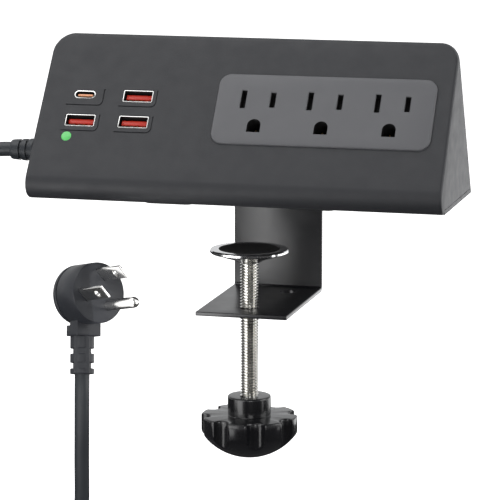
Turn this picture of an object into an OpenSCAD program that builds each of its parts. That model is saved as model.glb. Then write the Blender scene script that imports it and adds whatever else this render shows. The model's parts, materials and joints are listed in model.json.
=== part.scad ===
// Desk power strip: a wedge-shaped housing with three grounded outlets and four USB ports,
// carried by a C-shaped steel clamp that grips the edge of a desk.
// X runs along the strip, Y away from the person using it, Z up.
// The origin is on the clamp screw's axis, in the plane that rests on the desk top.

/* [Housing] */
// Length of the housing
body_w = 178.8; // [178:0.2:190]
// Depth of the housing, measured between its sharp bottom corners
body_d = 82; // [80:0.5:86]
// Height of the sharp apex above the underside of the base
body_h = 69.3; // [67:0.1:72]
// Lean of the front face from the vertical
face_lean = 36.5; // [35:0.5:38]
// Wall thickness of the top shell
wall = 2.4; // [2:0.1:2.8]
// Thickness of the base cover
base_t = 2; // [2:0.1:3]
// Radius of the rounded front edge
nose_r = 6.8; // [6:0.1:9]
// Radius of the ridge
ridge_r = 3; // [3:0.25:4]
// Radius of the two top corners, seen from the front
corner_r = 8.5; // [8:0.5:12]
// Radius of the two rear edges of the ends
rear_edge_r = 8; // [6:0.5:10]

/* [Outlets] */
// Distance between neighbouring outlets
outlet_pitch = 28.75; // [28.5:0.05:29.5]
// Place of the middle outlet along the strip
outlet_x = 35; // [34:0.5:35.5]
// Height of the blade slots, measured up the front face
slot_s = 52.6; // [52:0.1:54]
// Width of the outlet panel
panel_w = 93.5; // [92:0.5:94]
// Height of the outlet panel, measured up the front face
panel_h = 33.5; // [33:0.5:35]
// How far the outlet panel stands above the front face
panel_proud = 0.8; // [0.4:0.1:1.2]

/* [USB ports] */
// Places of the two columns of ports along the strip
port_x = [-70, -46.5];
// Heights of the two rows of ports, measured up the front face
port_s = [52.65, 40.2];
// Depth of the port sockets behind the front face
port_depth = 14.4; // [13:0.1:15]

/* [Clamp] */
// Width of the steel strap
strap_w = 40; // [36:1:44]
// Thickness of the steel strap
strap_t = 1.8; // [1.5:0.1:2.2]
// Clear height between the desk plane and the lower jaw
throat_h = 46.5; // [40:0.5:60]
// Distance from the screw's axis to the face that meets the desk edge
throat_d = 50; // [50:1:60]
// Thread diameter of the clamp screw
screw_d = 8; // [8:0.5:8]
// Height of the pressure pad's rim below the desk plane
pad_drop = 20.8; // [18:0.1:24]
// Outer diameter of the pressure pad
pad_d = 33.6; // [30:0.2:38]
// Outer diameter of the clamp knob
knob_d = 41.6; // [38:0.2:44]

/* [Power cord] */
// Diameter of the power cord
cord_d = 6.5; // [6:0.5:7]

/* [Hidden] */
$fn = 48;

shell_grey = [0.29, 0.29, 0.31];
panel_grey = [0.42, 0.42, 0.43];
board_green = [0.1, 0.35, 0.2];
brass = [0.78, 0.62, 0.3];
steel = [0.75, 0.75, 0.76];
matt_black = [0.12, 0.12, 0.13];

// Housing outline, in the Y-Z plane
base_z = strap_t;                            // underside of the base cover
front_y = -40;                               // sharp front corner
rear_y = front_y + body_d;                   // sharp rear corner
rear_lean = atan((body_d - body_h * tan(face_lean)) / body_h);
front_run = 1 / cos(face_lean);
rear_run = 1 / cos(rear_lean);
nose_c = front_corner(nose_r);               // centre of the rounded front edge
ridge_top = apex(ridge_r)[1] + ridge_r;
shell_z = base_z + base_t;                   // seam between the shell and the base cover

// Outlets
outlet_names = ["left", "middle", "right"];
slot_gap = 12.7;                             // blade spacing of a grounded outlet
ground_drop = 12.3;                          // ground hole's centre below the slots
slot_w = 2.2;
neutral_slot_h = 8.4;
line_slot_h = 7;
ground_r = 2.9;
panel_r = 5.2;
panel_s = 47.95;                             // panel's centre, up the front face
panel_lip = 1.2;                             // flange behind the shell
lip_over = 2;
carrier_t = -18;                             // back of the carrier, along the face normal
carrier_front = -(wall + panel_lip);
carrier_w = 90;
carrier_s = [31.5, 65];
shutter_travel = 2.6;
shutter_size = [23, 10.4, 1.6];
spring_l = 7;
spring_d = 1.8;
bus_t = 0.6;

// USB ports
usb_a = [13.2, 5.8];
usb_a_wall = 0.4;
usb_c = [9.6, 3.9];
port_gap = 0.15;                             // gap round a port in the shell
board_t = 1.6;
board_size = [50, 31];
board_x = -83;
board_s = 29.5;
post_x = -58.3;
post_s = [33.5, 57.5];
led_place = [-74.7, 32.3];
lens_r = 2.2;
groove_w = 0.5;
groove_depth = 0.35;

// Supply board, on the base cover
supply_place = [-64, -6];
supply_size = [40, 30];
supply_z = shell_z + 5;

// Housing screws and bosses
boss_places = [[-84, -15], [84, -15], [-79, 31], [79, 31]];
boss_r = 3.6;
boss_top = 18;
pilot_r = 1.25;
bracket_screw_places = [[-12, 4], [12, 4], [-12, 31], [12, 31]];

// Cord entry in the left end
entry = [-body_w / 2, 20, 15];
relief_l = 24;
cord_end_x = -74;
clamp_x = [-83, -77];                        // saddle over the cord, along the strip
clamp_low = 10;
clamp_top = 20;
wire_r = 0.8;

// Clamp
strap_front = -14.5;                         // front edge of the lower jaw
strap_top_front = -8;                        // front edge of the top leg
jaw_z = -throat_h;
bend_r = 1;
spare_hole = [7.5, 38.5];                    // plain hole in the lower jaw
spare_hole_r = 3.75;
running_gap = 0.05;
rim_z = -pad_drop;
cup_z = rim_z - 3.6;                         // floor of the steel cup
neck_z = rim_z - 5.8;                        // underside of the pad's neck
tip_r = 2.5;                                 // turned tip of the screw, riveted in the pad
hub_z = -85;
knob_rim_z = -93.4;
knob_side_z = -101;
knob_end_z = -112;
knob_lobes = 8;
flute_r = 4;

// Cord route: the surface that the spare cord lies on, and hand-placed points
floor_z = -170;
tie_t = 1;
low_turn_z = floor_z + tie_t + cord_d / 2;
high_turn_z = low_turn_z + cord_d;
coil_c = [-92, 11.5];
coil_r = [24, 49.5];
power_route = [[cord_end_x, 20, 15], [-87.5, 20, 15], [-101, 20, 15], [-116, 20, 15],
    [-123.2, 20, 14.05], [-130, 20, 11.25], [-135.8, 20, 6.8], [-140.25, 20, 1], [-143.05, 20, -5.75],
    [-144, 20, -13], [-144, 20, -40], [-144, 20, -70], [-144.1, 20.1, -105],
    [-144.5, 20.6, -138.7], [-144.1, 19.5, -147.1], [-142.8, 15.9, -154.6],
    [-140.7, 10.3, -160.6], [-138.1, 3.2, -164.4], [-135, -4.5, low_turn_z]];
cord_sides = 10;

// Plug
plug_at = [-66, -30];
plug_turn = 51;
lean_z = -88;                                // the plug leans back above this height
lean = 16;
lean_turn = 14.7;                            // direction of the lean
disc_z = -39.3;
disc_r = 13;
disc_front = -12.8;
disc_back = 4;
cap_l = 2.6;
cap_gap = 0.6;
neck = [12.2, 8.6];
neck_front = -5.3;
neck_bottom = -57.2;
relief_bottom = -73.3;
relief_rib_r = 5.15;
relief_core_r = 3.9;
relief_ribs = [[-73.3, 2.3], [-68.5, 3.8], [-62.4, 5.2]];
blade = [1.5, 6.35, 17];
blade_root = 4;
ground_pin_r = 2.38;
ground_pin_l = 21;
pin_pitch = 12.7;
pin_back = 4.75;                             // blades' midpoint from the disc's centre
pin_fore = 7.15;                             // ground pin from the disc's centre

// Hand-placed points from the wound cord up to the plug
plug_route = [[-92, -30, high_turn_z], [-83.9, -30, -157.1], [-74.8, -30, -151.05], [-68.7, -30, -142],
    [-66.6, -30, -131.3], [-66.3, -30, -110], [-66.1, -30, -97], on_lean(-82), on_lean(relief_bottom),
    on_lean(-65), on_lean(neck_bottom)];

// ---- Functions ----

// Corners of the housing's triangle, moved inwards by d
function front_corner(d) = [front_y + d * tan(face_lean) + d * front_run, base_z + d];
function rear_corner(d, z) = [rear_y - (z - base_z) * tan(rear_lean) - d * rear_run, z];
function apex_rise(d) = (body_d - d * (front_run + rear_run)) / (tan(face_lean) + tan(rear_lean));
function apex(d) = [front_y + apex_rise(d) * tan(face_lean) + d * front_run, base_z + apex_rise(d)];

// Sweep along a route: unit vectors, rings and the faces between them
function unit(v) = v / norm(v);
function direction(p, i) = unit(p[min(i + 1, len(p) - 1)] - p[max(i - 1, 0)]);
function side_of(d) = unit(cross(d, abs(d.z) > 0.9 ? [0, 1, 0] : [0, 0, 1]));
// Each ring's first axis is the last ring's, turned as little as the route allows
function carried(p, i) = i == 0 ? side_of(direction(p, 0))
    : let (was = carried(p, i - 1), d = direction(p, i)) unit(was - d * (was * d));
function ring(p, i, r) = let (a = carried(p, i), b = cross(direction(p, i), a))
    [for (k = [0 : cord_sides - 1]) p[i] + r * (cos(360 * k / cord_sides) * a + sin(360 * k / cord_sides) * b)];
// Points between the hand-placed ones, on a smooth curve through them
function smooth(p0, p1, p2, p3, t) = 0.5 * (2 * p1 + (p2 - p0) * t
    + (2 * p0 - 5 * p1 + 4 * p2 - p3) * t * t + (3 * p1 - p0 - 3 * p2 + p3) * t * t * t);
function refined(p) = let (n = len(p) - 1)
    [for (i = [0 : n - 1]) each [p[i], smooth(p[max(i - 1, 0)], p[i], p[i + 1], p[min(i + 2, n)], 0.5)], p[n]];

// Point on the leaning plug's cord axis, for a height z in the plug's own frame
function on_lean(z) = let (d = (z - lean_z) * sin(lean))
    [plug_at.x - d * sin(lean_turn), plug_at.y + d * cos(lean_turn), lean_z + (z - lean_z) * cos(lean)];

// ---- Shared shapes ----

// Places its children on the front face: x along the strip, y up the face, z out of it
module on_face() translate([0, front_y, base_z]) rotate([90 - face_lean, 0, 0]) children();

// Extrudes a Y-Z outline along X
module along_x(l) rotate([90, 0, 90]) linear_extrude(l, center = true) children();

// Rectangle with round corners, centred
module round_rect(w, h, r) {
    square([w - 2 * r, h], center = true);
    square([w, h - 2 * r], center = true);
    for (x = [-1, 1], y = [-1, 1]) translate([x * (w / 2 - r), y * (h / 2 - r)]) circle(r);
}

// Y-Z outline of the housing moved inwards by d, closed at height low
module profile(d, low) {
    nose = nose_r - d;
    ridge = max(ridge_r - d, 0.5);
    ridge_c = apex(d + ridge);
    polygon([nose_c, [nose_c[0], low], rear_corner(d, low),
        ridge_c + ridge * [cos(rear_lean), sin(rear_lean)],
        ridge_c + ridge * [-cos(face_lean), sin(face_lean)],
        nose_c + nose * [-cos(face_lean), sin(face_lean)]]);
    translate(nose_c) circle(nose);
    translate(ridge_c) circle(ridge);
}

// X-Z outline with the two rounded top corners, which cross the ridge at a slight angle
module end_outline(d) {
    half = body_w / 2 - d;
    cx = body_w / 2 - corner_r;
    cz = ridge_top - corner_r + 0.3;
    translate([-half, -20]) square([2 * half, cz + 20]);
    translate([-cx, -20]) square([2 * cx, 120]);
    for (x = [-cx, cx]) translate([x, cz]) circle(corner_r - d);
}

// Outline across the rear edges of the ends
module rear_outline(d) {
    half = body_w / 2 - d;
    cx = body_w / 2 - rear_edge_r;
    cy = 0.2 - rear_edge_r;
    translate([-half, -150]) square([2 * half, 150 + cy]);
    translate([-cx, -150]) square([2 * cx, 160]);
    for (x = [-cx, cx]) translate([x, cy]) circle(rear_edge_r - d);
}

// The housing's solid wedge moved inwards by d, with its bottom at height low
module wedge(d, low) {
    intersection() {
        along_x(body_w - 2 * d) profile(d, low);
        rotate([90, 0, 0]) linear_extrude(240, center = true) end_outline(d);
        translate([0, rear_y, base_z]) rotate([rear_lean, 0, 0]) translate([0, 0, -40])
            linear_extrude(160) rear_outline(d);
    }
}

// Countersunk screw pointing up, its head's face at the origin
module countersunk(shank_r, head_r, l) {
    cylinder(h = 1.4, r1 = head_r, r2 = shank_r);
    cylinder(h = l, r = shank_r);
}

module slots_at(i) translate([outlet_x + (i - 1) * outlet_pitch, slot_s, 0]) children();

module ground_outline(r) {
    circle(r);
    translate([-r, -r * 1.15]) square([2 * r, r * 1.15]);
}

// Bent line pressed into the face beside a port: along its bottom and up its right side
module port_groove() {
    bend = 2.5;
    left = -7.8;
    right = 8.6;
    low = -5.3;
    top = 2.9;
    translate([left, low]) square([right - bend - left, groove_w]);
    translate([right - groove_w, low + bend]) square([groove_w, top - low - bend]);
    translate([right - bend, low + bend]) intersection() {
        difference() {
            circle(bend);
            circle(bend - groove_w);
        }
        translate([0, -bend]) square(bend);
    }
}

module tube(route, r) {
    p = refined(route);
    n = len(p);
    points = [for (i = [0 : n - 1]) each ring(p, i, r)];
    walls = [for (i = [0 : n - 2], k = [0 : cord_sides - 1]) let (next = (k + 1) % cord_sides)
        [i * cord_sides + k, (i + 1) * cord_sides + k, (i + 1) * cord_sides + next, i * cord_sides + next]];
    first = [for (k = [0 : cord_sides - 1]) k];
    last = [for (k = [cord_sides - 1 : -1 : 0]) (n - 1) * cord_sides + k];
    polyhedron(points, concat(walls, [first, last]), convexity = 4);
}

// ---- Housing ----

module port_openings() {
    for (place = [[port_x[1], port_s[0]], [port_x[0], port_s[1]], [port_x[1], port_s[1]]])
        translate([place[0], place[1], -wall - 1])
            linear_extrude(wall + 2) square(usb_a + 2 * [port_gap, port_gap], center = true);
    translate([port_x[0], port_s[0], -wall - 1])
        linear_extrude(wall + 2) round_rect(usb_c[0] + 2 * port_gap, usb_c[1] + 2 * port_gap, usb_c[1] / 2);
    translate([led_place[0], led_place[1], -wall - 1]) cylinder(h = wall + 2, r = lens_r + running_gap);
}

module top_shell() color(shell_grey) difference() {
    union() {
        difference() {
            wedge(0, base_z);
            wedge(wall, base_z - 4);
        }
        intersection() {
            for (place = boss_places) translate([place.x, place.y, shell_z]) cylinder(h = boss_top - shell_z, r = boss_r);
            wedge(wall / 2, base_z);
        }
        for (s = post_s) on_face() translate([post_x, s, -port_depth]) cylinder(h = port_depth - 1, r = 2.6);
    }
    translate([-body_w, nose_c[0], base_z - 1]) cube([2 * body_w, body_d, base_t + 1]);
    on_face() {
        translate([outlet_x, panel_s, -wall - 1]) linear_extrude(wall + 2)
            round_rect(panel_w + 0.2, panel_h + 0.2, panel_r + 0.1);
        port_openings();
        for (x = port_x, s = port_s) translate([x, s, -groove_depth]) linear_extrude(1) port_groove();
        for (s = post_s) translate([post_x, s, -port_depth - 1]) cylinder(h = 9, r = pilot_r);
    }
    for (place = boss_places) translate([place[0], place[1], shell_z - 1]) cylinder(h = 10, r = pilot_r);
    translate(entry + [-1, 0, 0]) rotate([0, 90, 0]) cylinder(h = wall + 2, r = 5 + running_gap);
}

module base_cover() color(shell_grey) difference() {
    union() {
        intersection() {
            wedge(0, base_z);
            translate([-body_w, nose_c[0], base_z]) cube([2 * body_w, body_d, base_t]);
        }
        for (place = bracket_screw_places) translate([place.x, place.y, shell_z]) cylinder(h = 7, r = 3);
        translate([clamp_x[0], entry.y - 7, shell_z]) cube([clamp_x[1] - clamp_x[0], 14, clamp_low - shell_z]);
        for (x = [4, supply_size[0] - 4], y = [4, supply_size[1] - 4])
            translate([supply_place[0] + x, supply_place[1] + y, shell_z]) cylinder(h = supply_z - shell_z, r = 2.6);
    }
    for (place = boss_places) translate([place[0], place[1], base_z]) {
        translate([0, 0, -0.01]) cylinder(h = 1.42, r1 = 2.8, r2 = 1.6);
        cylinder(h = 4, r = 1.6);
    }
    for (place = bracket_screw_places) translate([place.x, place.y, base_z - 1]) cylinder(h = 8, r = pilot_r);
    saddle_screw_places() translate([0, 0, shell_z + 1]) cylinder(h = 8, r = pilot_r);
    for (x = [4, supply_size[0] - 4], y = [4, supply_size[1] - 4])
        translate([supply_place[0] + x, supply_place[1] + y, base_z + 1]) cylinder(h = 8, r = pilot_r);
}

module housing_screws() color(steel)
    for (place = boss_places) translate([place[0], place[1], base_z]) countersunk(pilot_r, 2.6, 9);

// ---- Outlets ----

module outlet_panel() color(panel_grey) on_face() difference() {
    translate([outlet_x, panel_s, 0]) {
        translate([0, 0, -wall - 0.1]) linear_extrude(wall + 0.1 + panel_proud) round_rect(panel_w, panel_h, panel_r);
        translate([0, 0, -wall - panel_lip]) linear_extrude(panel_lip - 0.02)
            round_rect(panel_w + 2 * lip_over, panel_h + 2 * lip_over, panel_r + lip_over);
    }
    for (i = [0 : 2]) slots_at(i) translate([0, 0, -8]) linear_extrude(12) {
        translate([-slot_gap / 2, 0]) square([slot_w, neutral_slot_h], center = true);
        translate([slot_gap / 2, 0]) square([slot_w, line_slot_h], center = true);
        translate([0, -ground_drop]) ground_outline(ground_r);
    }
}

module outlet_carrier() color(matt_black) on_face() difference() {
    translate([outlet_x - carrier_w / 2, carrier_s[0], carrier_t])
        cube([carrier_w, carrier_s[1] - carrier_s[0], carrier_front - carrier_t]);
    for (i = [0 : 2]) slots_at(i) {
        // Recess for the shutter, and beside it the pocket for its tab and spring
        translate([-13, -5.4, carrier_front - 2]) cube([26, 10.8, 3]);
        translate([-6.2, 5.3, carrier_front - 2]) cube([12.2, 4.3, 3]);
        for (x = [-slot_gap / 2, slot_gap / 2])
            translate([x - 2.4, -4.4, carrier_t - 1]) cube([4.8, 8.8, 20]);
        translate([0, -ground_drop, carrier_t - 1]) cylinder(h = 20, r = 4);
    }
}

// Spring-loaded plate that closes both blade slots, its tab pushed by the spring
module shutter(i) color("white") on_face() slots_at(i) translate([-shutter_travel / 2, 0, carrier_front - 1.8])
    difference() {
        union() {
            translate([-shutter_size.x / 2, -shutter_size.y / 2, 0]) cube(shutter_size);
            translate([-4.7, shutter_size.y / 2 - 0.1, 0]) cube([5, 4.2, shutter_size.z]);
        }
        for (x = [-slot_gap / 2, slot_gap / 2])
            translate([x - shutter_travel / 2, 0, -1]) linear_extrude(4) square([2.4, 8.6], center = true);
    }

module shutter_spring(i) color(steel) on_face() slots_at(i) translate([-1, 7.6, carrier_front - 1])
    rotate([0, 90, 0]) difference() {
        cylinder(h = spring_l, r = spring_d / 2, $fn = 24);
        translate([0, 0, -1]) cylinder(h = spring_l + 2, r = spring_d / 2 - 0.3, $fn = 24);
    }

// Brass strip behind the carrier with a pair of spring leaves in each contact pocket
module bus(strip_s, contact_s, contact_x, left) {
    low = min(strip_s[0], contact_s - 2.5);
    high = max(strip_s[1], contact_s + 2.5);
    color(brass) on_face() {
        translate([left, strip_s[0], carrier_t - bus_t])
            cube([outlet_x + outlet_pitch + contact_x + 4 - left, strip_s[1] - strip_s[0], bus_t]);
        for (i = [-1 : 1]) translate([outlet_x + i * outlet_pitch + contact_x, 0, 0]) {
            translate([-1.6, low, carrier_t - bus_t]) cube([3.2, high - low, bus_t]);
            for (x = [-1.6, 1.1]) translate([x, contact_s - 2.5, carrier_t - bus_t / 2]) cube([0.5, 5, 10]);
        }
    }
}

module neutral_bus() bus([59.5, 63.5], slot_s, -slot_gap / 2, -12);
module line_bus() bus([45.2, 48], slot_s, slot_gap / 2, -9);
module ground_bus() bus([32, 35], slot_s - ground_drop, 0, -6);

// ---- USB ports and electronics ----

module usb_a_shell(x, s) color(steel) on_face() translate([x, s, -port_depth]) difference() {
    linear_extrude(port_depth - 0.2) square(usb_a, center = true);
    translate([0, 0, usb_a_wall]) linear_extrude(port_depth) square(usb_a - 2 * [usb_a_wall, usb_a_wall], center = true);
}

module usb_a_tongue(x, s) color("red") on_face() translate([x, s + 0.4, -port_depth + usb_a_wall])
    linear_extrude(port_depth - 2) square([11.2, 2.2], center = true);

module usb_c_shell() color(steel) on_face() translate([port_x[0], port_s[0], -port_depth]) difference() {
    linear_extrude(port_depth - 0.1) round_rect(usb_c[0], usb_c[1], usb_c[1] / 2 - 0.01);
    translate([0, 0, 0.5]) linear_extrude(port_depth) round_rect(usb_c[0] - 0.8, usb_c[1] - 0.8, usb_c[1] / 2 - 0.41);
}

module usb_c_tongue() color("orange") on_face() translate([port_x[0], port_s[0], -port_depth + 0.5])
    linear_extrude(port_depth - 1.3) square([6.7, 0.9], center = true);

module usb_board() color(board_green) on_face() difference() {
    translate([board_x, board_s, -port_depth - board_t]) cube([board_size.x, board_size.y, board_t]);
    for (s = post_s) translate([post_x, s, -port_depth - board_t - 1]) cylinder(h = board_t + 2, r = 1.5);
}

module board_screws() color(steel) {
    on_face() for (s = post_s) translate([post_x, s, -port_depth - board_t]) {
        translate([0, 0, -1.5]) cylinder(h = 1.5, r = 2.4);
        cylinder(h = board_t + 6, r = pilot_r);
    }
    for (x = [4, supply_size[0] - 4], y = [4, supply_size[1] - 4])
        translate([supply_place[0] + x, supply_place[1] + y, supply_z + board_t]) {
            cylinder(h = 1.5, r = 2.4);
            translate([0, 0, -board_t - 4]) cylinder(h = board_t + 4, r = pilot_r);
        }
}

module supply_board() color(board_green) difference() {
    translate([supply_place[0], supply_place[1], supply_z]) cube([supply_size[0], supply_size[1], board_t]);
    for (x = [4, supply_size[0] - 4], y = [4, supply_size[1] - 4])
        translate([supply_place[0] + x, supply_place[1] + y, supply_z - 1]) cylinder(h = board_t + 2, r = 1.5);
}

module transformer() color("gold") translate([supply_place[0] + 8, supply_place[1] + 9, supply_z + board_t]) {
    cube([14, 13, 2]);
    translate([2, 1.5, 2]) cube([10, 10, 8]);
    translate([0, 0, 10]) cube([14, 13, 1.5]);
}

module capacitor() color("black") translate([supply_place[0] + 29, supply_place[1] + 15, supply_z + board_t])
    cylinder(h = 11, r = 4);

module indicator_lens() color("lime") on_face() translate([led_place[0], led_place[1], -2])
    cylinder(h = 2.3, r = lens_r);

module indicator_led() color("white") on_face() translate([led_place[0], led_place[1], -port_depth]) {
    translate([0, 0, 7]) cylinder(h = 4.8, r = 1.5);
    for (x = [-1, 0.5]) translate([x, -0.25, 0]) cube([0.5, 0.5, 7.2]);
}

// ---- Mains wiring and cord entry ----

// A wire's run from the cord's end to a bus strip at height s on the face
module bus_wire(lane, end_x, s) {
    depth = bus_t - carrier_t;
    start = [cord_end_x, entry.y, entry.z + 2.2 * (lane - 1)];
    low = 7.5 + 3.5 * lane;
    end = [end_x, front_y + s * sin(face_lean) + depth * cos(face_lean),
        base_z + s * cos(face_lean) - depth * sin(face_lean)];
    tube([start, start + [3, 0, 0], [-68, 22.5, (start.z + low) / 2], [-64, 26, low], [-40, 26, low],
        [end_x - 5, 26, low], [end_x - 1, 24.5, low + 1], (end + [end_x, 22, low + 3]) / 2, end], wire_r);
}

module neutral_wire() color("white") bus_wire(2, -10.5, 61.5);
module line_wire() color("black") bus_wire(1, -7.5, 46.6);
module ground_wire() color("green") bus_wire(0, -4.5, 33.5);

// Tapered rubber sleeve with a neck in the wall of the housing
module strain_relief() color(matt_black) translate(entry) rotate([0, 90, 0]) difference() {
    union() {
        translate([0, 0, -relief_l]) cylinder(h = relief_l, r1 = 4.3, r2 = 6.2);
        cylinder(h = wall, r = 5);
        translate([0, 0, wall]) cylinder(h = 2, r = 6.5);
    }
    translate([0, 0, -relief_l - 1]) cylinder(h = relief_l + 8, r = cord_d / 2 + running_gap);
}

// Saddle that grips the cord inside the housing, standing on the base cover
module cord_clamp() color(matt_black) difference() {
    translate([clamp_x[0], entry.y - 7, clamp_low]) cube([clamp_x[1] - clamp_x[0], 14, clamp_top - clamp_low]);
    translate([-90, entry.y, entry.z]) rotate([0, 90, 0]) cylinder(h = 20, r = cord_d / 2 + running_gap);
    saddle_screw_places() translate([0, 0, clamp_low - 1]) cylinder(h = 20, r = pilot_r);
}

module saddle_screw_places() for (y = [-5.3, 5.3])
    translate([(clamp_x[0] + clamp_x[1]) / 2, entry.y + y, 0]) children();

module cord_clamp_screws() color(steel) saddle_screw_places() {
    translate([0, 0, clamp_top]) cylinder(h = 1.5, r = 1.7);
    translate([0, 0, clamp_low - 4]) cylinder(h = clamp_top - clamp_low + 4, r = pilot_r);
}

// ---- Clamp ----

// Y-Z outline of the C-shaped strap, with round bends
module strap_outline() {
    outer = bend_r + strap_t;
    back = throat_d + strap_t;
    low = jaw_z - strap_t;
    translate([strap_top_front, 0]) square([back - outer - strap_top_front, strap_t]);
    translate([strap_front, low]) square([back - outer - strap_front, strap_t]);
    translate([throat_d, low + outer]) square([strap_t, strap_t - outer - low - outer]);
    for (z = [low + outer, strap_t - outer]) translate([back - outer, z]) intersection() {
        difference() {
            circle(outer);
            circle(bend_r);
        }
        translate([0, z < jaw_z / 2 ? -outer : 0]) square(outer);
    }
}

module clamp_bracket() color(matt_black) difference() {
    along_x(strap_w) strap_outline();
    translate([0, 0, jaw_z - strap_t - 1]) cylinder(h = strap_t + 2, r = screw_d / 2 + running_gap);
    translate([spare_hole.x, spare_hole.y, jaw_z - strap_t - 1]) cylinder(h = strap_t + 2, r = spare_hole_r);
    for (place = bracket_screw_places) translate([place.x, place.y, 0]) {
        translate([0, 0, -0.01]) cylinder(h = 1.42, r1 = 3, r2 = 1.7);
        cylinder(h = strap_t + 1, r = 1.7);
    }
}

module bracket_screws() color(steel)
    for (place = bracket_screw_places) translate([place.x, place.y, 0.1]) countersunk(pilot_r, 2.7, 8);

module desk_pad(side) color(matt_black) translate([side * 30.75, 6, 0])
    linear_extrude(base_z) round_rect(21, 50, 3);

// Steel dish that swivels on the screw's tip
module pressure_pad() color(steel) rotate_extrude() polygon([[tip_r + running_gap, neck_z], [5.2, neck_z],
    [6.4, neck_z + 1], [15.4, rim_z - 2], [pad_d / 2, rim_z - 1.5], [pad_d / 2, rim_z - 0.5],
    [pad_d / 2 - 0.5, rim_z], [13.2, rim_z], [5, cup_z], [tip_r + running_gap, cup_z]]);

// Moulded lining of the dish
module pad_cushion() color(matt_black) rotate_extrude() polygon([[0, rim_z - 2.5], [4.2, rim_z - 2.5],
    [4.2, cup_z], [5, cup_z], [13.2, rim_z], [12.4, rim_z], [9, rim_z - 1.1], [4.5, rim_z - 1.6], [0, rim_z - 1.7]]);

// Threaded rod: its tip is turned down and riveted inside the dish
module clamp_screw() color(steel) {
    translate([0, 0, -104]) cylinder(h = 104 + neck_z, r = screw_d / 2);
    translate([0, 0, neck_z - 0.5]) cylinder(h = cup_z - neck_z + 0.6, r = tip_r);
    translate([0, 0, cup_z + 0.05]) cylinder(h = 1, r = 3.6);
}

module knob_outline() difference() {
    circle(knob_d / 2);
    for (i = [0 : knob_lobes - 1]) rotate(360 * (i + 0.5) / knob_lobes)
        translate([knob_d / 2 + 0.2, 0]) circle(flute_r);
}

module clamp_knob() color(matt_black) {
    dome_h = knob_side_z - knob_end_z;
    dome_r = (pow(knob_d / 2, 2) + dome_h * dome_h) / (2 * dome_h);
    difference() {
        union() {
            translate([0, 0, knob_rim_z - 1]) cylinder(h = hub_z - knob_rim_z + 1, r = 9.3);
            intersection() {
                translate([0, 0, knob_end_z - 1]) linear_extrude(knob_rim_z - knob_end_z + 1) knob_outline();
                translate([0, 0, knob_end_z + dome_r]) sphere(dome_r, $fn = 96);
            }
        }
        translate([0, 0, -104]) cylinder(h = 30, r = screw_d / 2);
    }
}

// ---- Cord and plug ----

module power_cord() color(matt_black) tube(power_route, cord_d / 2);
module plug_cord() color(matt_black) tube(plug_route, cord_d / 2);

// Outer shape of the wound cord
module cord_coil() color(matt_black) translate([coil_c.x, coil_c.y, 0]) rotate_extrude()
    translate([(coil_r[0] + coil_r[1]) / 2, floor_z + tie_t + cord_d])
        round_rect(coil_r[1] - coil_r[0], 2 * cord_d, 3);

module cord_tie() color(matt_black) translate([coil_c.x, coil_c.y, floor_z]) difference() {
    translate([coil_r[0] - 2.2, -6, 0]) cube([coil_r[1] - coil_r[0] + 3.3, 12, 2 * (cord_d + tie_t)]);
    translate([coil_r[0] - 1.1, -7, tie_t]) cube([coil_r[1] - coil_r[0] + 1.1, 14, 2 * cord_d]);
}

// Plug's own frame: cord axis vertical, pins along -Y
module in_plug() translate([plug_at.x, plug_at.y, lean_z]) rotate([-lean, 0, lean_turn])
    rotate([0, 0, plug_turn - lean_turn]) translate([0, 0, -lean_z]) children();

// Looks along the pins, with the blade pattern turned by an eighth of a turn
module on_pins() translate([0, disc_front, disc_z]) rotate([90, 45, 0]) children();

module plug_body() color(matt_black) in_plug() difference() {
    union() {
        translate([0, disc_front, disc_z]) rotate([-90, 0, 0]) {
            translate([0, 0, 1.2]) cylinder(h = disc_back - cap_l - cap_gap - disc_front - 1.2, r = disc_r);
            cylinder(h = 1.2, r1 = disc_r - 1.2, r2 = disc_r);
        }
        translate([-neck.x / 2, neck_front, neck_bottom]) cube([neck.x, neck.y, disc_z - disc_r - 0.3 - neck_bottom]);
        translate([-neck.x / 2, neck_front, neck_bottom]) cube([neck.x, 6, 14]);
    }
    pins(-blade_root);
}

module plug_cap() color(matt_black) in_plug() translate([0, disc_back - cap_l - cap_gap, disc_z]) rotate([-90, 0, 0]) {
    cylinder(h = cap_gap, r = disc_r - 1);
    translate([0, 0, cap_gap]) cylinder(h = cap_l - 1, r = disc_r);
    translate([0, 0, cap_gap + cap_l - 1]) cylinder(h = 1, r1 = disc_r, r2 = disc_r - 1);
}

module plug_relief() color(matt_black) in_plug() difference() {
    union() {
        translate([0, 0, relief_bottom]) cylinder(h = neck_bottom - relief_bottom, r = relief_core_r);
        for (rib = relief_ribs) translate([0, 0, rib[0]]) cylinder(h = rib[1], r = relief_rib_r);
        rotate([0, 0, lean_turn - plug_turn]) translate([-relief_core_r, -4.8, relief_bottom])
            cube([2 * relief_core_r, 9.6, neck_bottom - relief_bottom]);
    }
    translate([0, 0, relief_bottom - 1]) cylinder(h = 20, r = cord_d / 2 + running_gap);
}

module one_blade(side, from) on_pins() translate([-pin_back, side * pin_pitch / 2, from]) difference() {
    translate([-blade.y / 2, -blade.x / 2, 0]) cube([blade.y, blade.x, blade.z - from]);
    translate([0, 0, 11.7 - from]) rotate([90, 0, 0]) cylinder(h = 4, r = 1.6, center = true);
}

module one_ground_pin(from) on_pins() translate([pin_fore, 0, from])
    cylinder(h = ground_pin_l - from, r = ground_pin_r);

// All three pins, from a depth below the plug's front
module pins(from) {
    for (side = [-1, 1]) one_blade(side, from);
    one_ground_pin(from);
}

module line_blade() color(steel) in_plug() one_blade(-1, -blade_root);
module neutral_blade() color(steel) in_plug() one_blade(1, -blade_root);
module ground_pin() color(brass) in_plug() one_ground_pin(-blade_root);

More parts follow.
